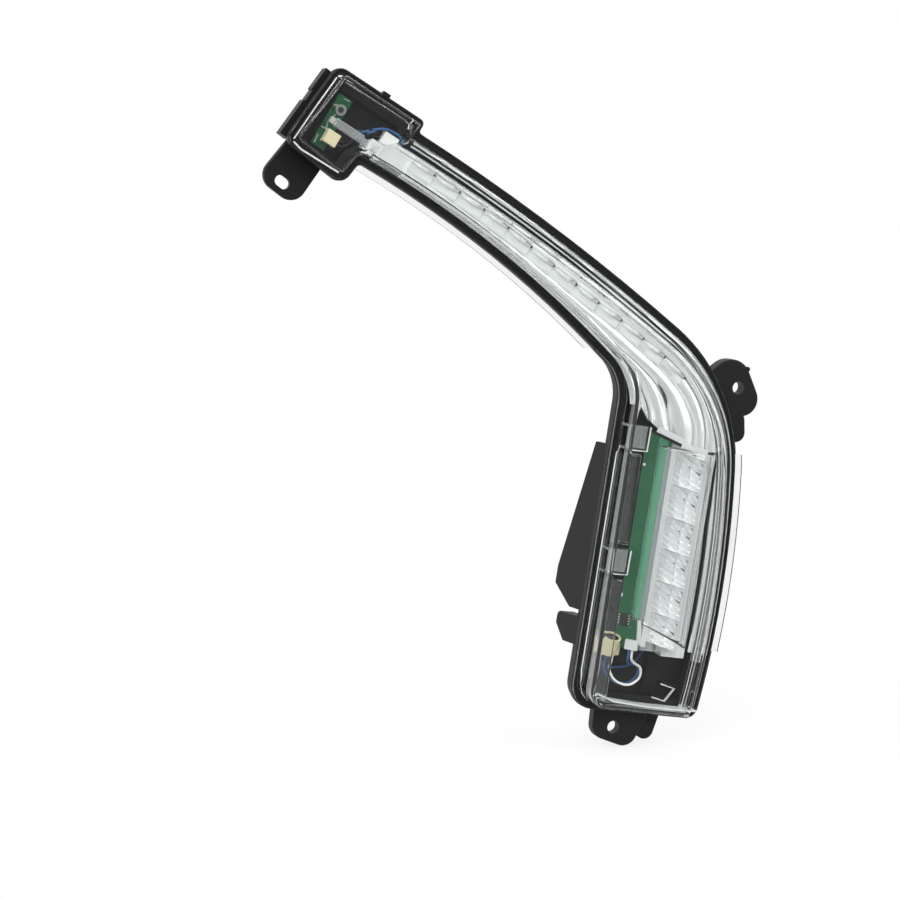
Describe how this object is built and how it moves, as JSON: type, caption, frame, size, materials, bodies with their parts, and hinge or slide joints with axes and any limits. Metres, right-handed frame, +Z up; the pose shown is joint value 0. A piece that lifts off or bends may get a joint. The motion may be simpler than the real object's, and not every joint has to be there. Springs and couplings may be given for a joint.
{
  "type": "daytime running light",
  "caption": "Boomerang-shaped car daytime running light: black housing with screw ears, clear stepped lens, bright reflector cells, clear light guide, boards and wires inside.",
  "frame": {"origin": "axis of the elbow ear's screw hole, in the mounting plane at the back of the ears", "axes": "+Z up as mounted, the lens faces -Y, +X to the right seen from the front"},
  "size_m": [0.2626, 0.0601, 0.3485],
  "materials": {
    "housing_black": "fine moulded grain",
    "lens_clear": "clear gloss",
    "guide_clear": "clear gloss",
    "metallised": "vacuum-metallised",
    "sealant": "matte",
    "board_green": "satin solder mask",
    "chip_black": "matte",
    "tinned": "tinned",
    "ceramic": "matte",
    "led_package": "satin",
    "nylon_cream": "satin",
    "nylon_white": "satin",
    "nylon_grey": "satin",
    "screw_steel": "zinc plated",
    "wire_blue": "satin",
    "wire_white": "satin",
    "wire_black": "satin",
    "seal_rubber": "matte"
  },
  "bodies": {
    "root": {"rear_housing": "housing_black", "outer_lens": "lens_clear", "lens_sealant": "sealant", "arm_reflector": "metallised", "leg_reflector": "metallised", "light_guide": "guide_clear", "inner_lens": "guide_clear", "leg_circuit_board": "board_green", "leg_leds": "led_package", "leg_driver_chip": "chip_black", "driver_chip_leads": "tinned", "leg_resistors": "ceramic", "leg_header": "nylon_cream", "leg_plug": "nylon_grey", "head_circuit_board": "board_green", "guide_led": "led_package", "head_header": "nylon_cream", "inline_connector": "nylon_white", "retaining_screws": "screw_steel", "connector_pins": "tinned", "connector_seal": "seal_rubber", "vent_cap": "housing_black", "white_jumper_wire": "wire_white", "blue_jumper_wire": "wire_blue", "blue_supply_wire": "wire_blue", "blue_head_wire": "wire_blue", "black_board_wire": "wire_black", "black_return_wire": "wire_black"}
  },
  "joints": []
}
